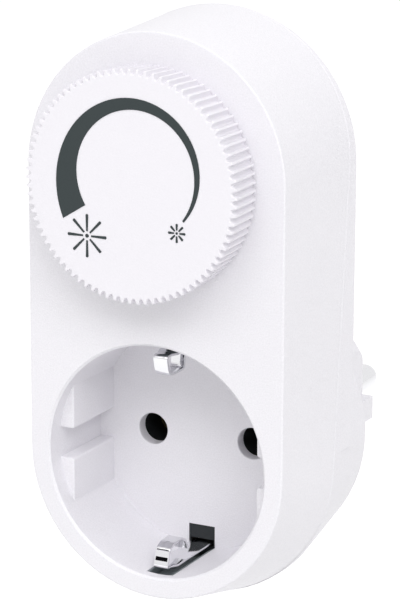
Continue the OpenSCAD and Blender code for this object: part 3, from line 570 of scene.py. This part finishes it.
def makeKnob(v):
    count = v["teeth"] * v["perTooth"]
    cuts = [fluteCut(i / v["perTooth"], v) for i in range(v["perTooth"])]
    bm = bmesh.new()
    rings = []
    for y, r, share, *trim in knobRows(v):
        if r == 0.0:
            rings.append([bm.verts.new((0, faceY + y * mm, v["axisZ"] * mm))])
            continue
        ring = []
        for i in range(count):
            a = math.tau * i / count
            radius = r - max(max(share, 0.0) * cuts[i % v["perTooth"]], *trim, 0.0)
            x, z = radius * math.cos(a), radius * math.sin(a)
            if share < 0:
                z = min(z, v["flat"])
            ring.append(bm.verts.new((x * mm, faceY + y * mm, (v["axisZ"] + z) * mm)))
        rings.append(ring)
    for one, two in zip(rings, rings[1:]):
        if len(one) == len(two):
            joinRings(bm, one, two)
            continue
        for i in range(count):
            j = (i + 1) % count
            if len(one) == 1:
                bm.faces.new((one[0], two[i], two[j]))
            else:
                bm.faces.new((one[j], one[i], two[0]))
    return meshFrom(bm, "dimmingKnob", v["sharp"])


knobPiece = newObject("dimmingKnob", makeKnob(knobShape), "knob", finish["knob_plastic"])
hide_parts("knob")
print("knob made:", len(knobPiece.data.polygons), "faces")

# earth clips: one strip each with tight bends (1 is the upper clip, -1 the lower one); the lower clip has
# a window and a slit in its front panel, with a near-black plate behind them that paints the shade seen through
# them

clipShape = {
    "footWidth": 3.8, "noseWidth": 2.6, "thick": 0.42, "edge": 0.06, "sharp": 40,
    "foot": [(20.0, 19.1), (9.0, 19.1)], "footZ": {1: 17.85, -1: 19.1},
    "narrowDepths": (5.4, 5.0, 4.6, 4.2, 3.8), "narrowFrom": 5.4, "narrowOver": 1.6, "noseDepth": 3.6,
    "bends": {1: [(2.7, 17.85), (2.4, 17.45), (3.1, 14.6), (5.4, 14.45), (8.2, 14.45), (8.6, 15.0)],
              -1: [(2.75, 19.1), (2.5, 18.7), (3.45, 15.95), (4.9, 15.28), (7.6, 15.2), (8.9, 15.85)]},
    "end": {1: (8.8, 17.4), -1: (10.0, 17.6)},
    "bendRadius": {1: (0.4, 0.4, 1.6, 0.5, 0.5, 0.3), -1: (0.3,) * 6}, "bendShare": 0.45, "bendSteps": 6,
    "windowHalf": 1.12, "window": (17.2, 17.85), "slitHalf": 1.15, "slit": (15.96, 16.2),
    "cutDepth": 2.9, "cutLong": 2.4,
    "plateThick": 0.12, "plateSpan": (0.12, 0.97), "plateGap": 0.01, "plateSide": 0.03,
}


def bentPath(points, radii, v):
    # straight runs joined by tight bends
    out = [points[0]]
    for before, corner, after, radius in zip(points, points[1:], points[2:], radii):
        a, p, b = Vector(before), Vector(corner), Vector(after)
        start = p + (a - p).normalized() * min(radius, (a - p).length * v["bendShare"])
        stop = p + (b - p).normalized() * min(radius, (b - p).length * v["bendShare"])
        for k in range(v["bendSteps"] + 1):
            t = k / v["bendSteps"]
            out.append(tuple(start * (1 - t) ** 2 + p * 2 * t * (1 - t) + stop * t * t))
    out.append(points[-1])
    return out


def makeClip(v, up):
    path = v["foot"] + [(d, v["footZ"][up]) for d in v["narrowDepths"]]
    footEnd, nose = len(v["foot"]), len(path)
    bends = [(v["noseDepth"], v["footZ"][up])] + v["bends"][up] + [v["end"][up]]
    path += bentPath(bends, v["bendRadius"][up], v)
    half, edge = v["thick"] / 2, v["edge"]
    bm = bmesh.new()
    rings = []
    for k, (d, z) in enumerate(path):
        before, after = path[max(k - 1, 0)], path[min(k + 1, len(path) - 1)]
        along = Vector((after[0] - before[0], after[1] - before[1])).normalized()
        normal = Vector((-along[1], along[0]))
        wide = v["footWidth"] / 2 if k < footEnd else v["noseWidth"] / 2
        if footEnd <= k < nose:     # the strip narrows from the foot to the nose
            t = min(max((v["narrowFrom"] - d) / v["narrowOver"], 0.0), 1.0)
            wide = (v["footWidth"] + (v["noseWidth"] - v["footWidth"]) * t * t * (3 - 2 * t)) / 2
        ring = []
        for cx, cy, a0 in ((1, 1, 0), (-1, 1, 90), (-1, -1, 180), (1, -1, 270)):
            for a in (0, 45, 90):       # rounded corner of the strip's section
                ang = math.radians(a0 + a)
                x = cx * (wide - edge) + edge * math.cos(ang)
                n = cy * (half - edge) + edge * math.sin(ang)
                spot = Vector((d, z)) + normal * n
                ring.append(bm.verts.new((x * mm, faceY + spot[0] * mm, up * spot[1] * mm)))
        rings.append(ring)
    for one, two in zip(rings, rings[1:]):
        joinRings(bm, one, two)
    bm.faces.new(rings[0])
    bm.faces.new(list(reversed(rings[-1])))
    return meshFrom(bm, "clipStrip", v["sharp"])


def makeShadePlate(v, up):
    # near-black plate just behind the front panel: painted shade seen through the window and slit
    low, high = (Vector(p) for p in v["bends"][up][1:3])
    along = (high - low).normalized()
    inward = Vector((-along[1], along[0]))
    bm = bmesh.new()
    spots = []
    for t in v["plateSpan"]:
        for n in (v["plateGap"], v["plateGap"] + v["plateThick"]):
            spots.append(low + (high - low) * t + inward * (v["thick"] / 2 + n))
    side = v["slitHalf"] + v["plateSide"]
    left, right = ([bm.verts.new((x * mm, faceY + q[0] * mm, up * q[1] * mm)) for q in spots]
                   for x in (-side, side))
    for i, j in ((0, 1), (1, 3), (3, 2), (2, 0)):
        bm.faces.new((left[i], left[j], right[j], right[i]))
    bm.faces.new((left[0], left[2], left[3], left[1]))
    bm.faces.new((right[0], right[1], right[3], right[2]))
    return meshFrom(bm, "clipShadePlate", v["sharp"])


def makeCutter(half, span, v, up):
    bm = bmesh.new()
    bmesh.ops.create_cube(bm, size=1.0)
    low, high = span
    for p in bm.verts:
        p.co = Vector((p.co.x * 2 * half * mm, faceY + (v["cutDepth"] + p.co.y * v["cutLong"]) * mm,
                       (up * (low + high) / 2 + p.co.z * (high - low)) * mm))
    mesh = bpy.data.meshes.new("cutter")
    bm.to_mesh(mesh)
    bm.free()
    return bpy.data.objects.new("cutter", mesh)


def cutMesh(mesh, cutter, sharp):
    # the cut is applied here, so the piece is a plain mesh
    holder = bpy.data.objects.new("holder", mesh)
    for o in (holder, cutter):
        scene.collection.objects.link(o)
    cut = holder.modifiers.new("cut", "BOOLEAN")
    cut.operation = "DIFFERENCE"
    cut.object = cutter
    cut.solver = "EXACT"
    bpy.context.view_layer.update()
    depsgraph = bpy.context.evaluated_depsgraph_get()
    result = bpy.data.meshes.new_from_object(holder.evaluated_get(depsgraph))
    for o in (holder, cutter):
        bpy.data.objects.remove(o)
    result.shade_smooth()
    result.set_sharp_from_angle(angle=math.radians(sharp))
    return result


for clipName, body, up in (("upperClip", "upper_clip", 1), ("lowerClip", "lower_clip", -1)):
    mesh = makeClip(clipShape, up)
    if up < 0:
        for hole in ("window", "slit"):
            cutter = makeCutter(clipShape[hole + "Half"], clipShape[hole], clipShape, up)
            mesh = cutMesh(mesh, cutter, clipShape["sharp"])
    mesh.name = clipName
    piece = newObject(clipName, mesh, body, finish["nickel_plate"])
    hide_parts("upper_earth_clip" if up > 0 else "lower_earth_clip")
    if up < 0:
        # the near-black plate paints the shade behind the window and slit
        newObject(clipName + "Plate", makeShadePlate(clipShape, up), body, paintedShadeBlack)
    print(clipName, "made:", len(mesh.polygons), "faces")

# stage and light

stageLook = {
    "floorZ": -0.16, "floorSize": 8.0, "floorSides": 96, "floorColor": (0.8, 0.8, 0.8), "floorLift": 0.36,
    "skyLow": 0.465, "skyHigh": 0.965, "skySeen": 1.0, "aim": (0, -0.02, 0.03),
    "lamps": {      # place, disc size, watts
        "frontLamp": ((0, -1.2, 1.2), 0.8, 4.1),
        "frontRightLamp": ((0.8, -1.0, 1.0), 0.8, 7.6),
        "frontLeftLamp": ((-0.8, -1.0, 1.0), 0.8, 1.3),
        "rightLamp": ((1.6, -0.3, 0.5), 0.8, 1.8),
    },
}


def addSeen(tree):
    # 1 where the floor or the sky is seen, mirrored or looked at through glass, 0 where it only lights
    path = tree.nodes.new("ShaderNodeLightPath")
    seen = addMath(tree, "MAXIMUM", path.outputs["Is Camera Ray"], path.outputs["Is Glossy Ray"])
    return addMath(tree, "MAXIMUM", seen, path.outputs["Is Transmission Ray"])


def makeFloor(v):
    bm = bmesh.new()
    bmesh.ops.create_circle(bm, cap_ends=True, segments=v["floorSides"], radius=v["floorSize"])
    mesh = bpy.data.meshes.new("paleFloor")
    bm.to_mesh(mesh)
    bm.free()
    floor = bpy.data.objects.new("paleFloor", mesh)
    floor.location.z = v["floorZ"]
    scene.collection.objects.link(floor)
    material = bpy.data.materials.new("paleFloor")
    material.use_nodes = True
    tree = material.node_tree
    tree.nodes.clear()
    diffuse = tree.nodes.new("ShaderNodeBsdfDiffuse")
    diffuse.inputs["Color"].default_value = (*v["floorColor"], 1)
    glow = tree.nodes.new("ShaderNodeEmission")
    tree.links.new(addMath(tree, "MULTIPLY", addSeen(tree), v["floorLift"]), glow.inputs["Strength"])
    both = tree.nodes.new("ShaderNodeAddShader")
    tree.links.new(diffuse.outputs[0], both.inputs[0])
    tree.links.new(glow.outputs[0], both.inputs[1])
    out = tree.nodes.new("ShaderNodeOutputMaterial")
    tree.links.new(both.outputs[0], out.inputs["Surface"])
    mesh.materials.append(material)


def makeSky(v):
    world = bpy.data.worlds.new("studioSky")
    scene.world = world
    world.use_nodes = True
    tree = world.node_tree
    ground = tree.nodes["Background"]
    coords = tree.nodes.new("ShaderNodeTexCoord")
    split = tree.nodes.new("ShaderNodeSeparateXYZ")
    tree.links.new(coords.outputs["Generated"], split.inputs[0])
    light = addRange(tree, split.outputs["Z"], v["skyLow"], v["skyHigh"])
    pick = tree.nodes.new("ShaderNodeMix")
    tree.links.new(addSeen(tree), pick.inputs[0])
    tree.links.new(light, pick.inputs[2])
    pick.inputs[3].default_value = v["skySeen"]
    tree.links.new(pick.outputs[0], ground.inputs["Strength"])
    ground.inputs["Color"].default_value = (1, 1, 1, 1)


def makeLamp(name, place, target, size, watts):
    data = bpy.data.lights.new(name, "AREA")
    data.shape = "DISK"
    data.size = size
    data.energy = watts
    lamp = bpy.data.objects.new(name, data)
    lamp.location = place
    aim = (Vector(target) - Vector(place)).to_track_quat("-Z", "Y")
    lamp.rotation_euler = aim.to_euler()
    scene.collection.objects.link(lamp)


makeFloor(stageLook)
makeSky(stageLook)
for lampName, (place, size, watts) in stageLook["lamps"].items():
    makeLamp(lampName, place, stageLook["aim"], size, watts)
scene.view_settings.view_transform = "Standard"
print("stage and light set")
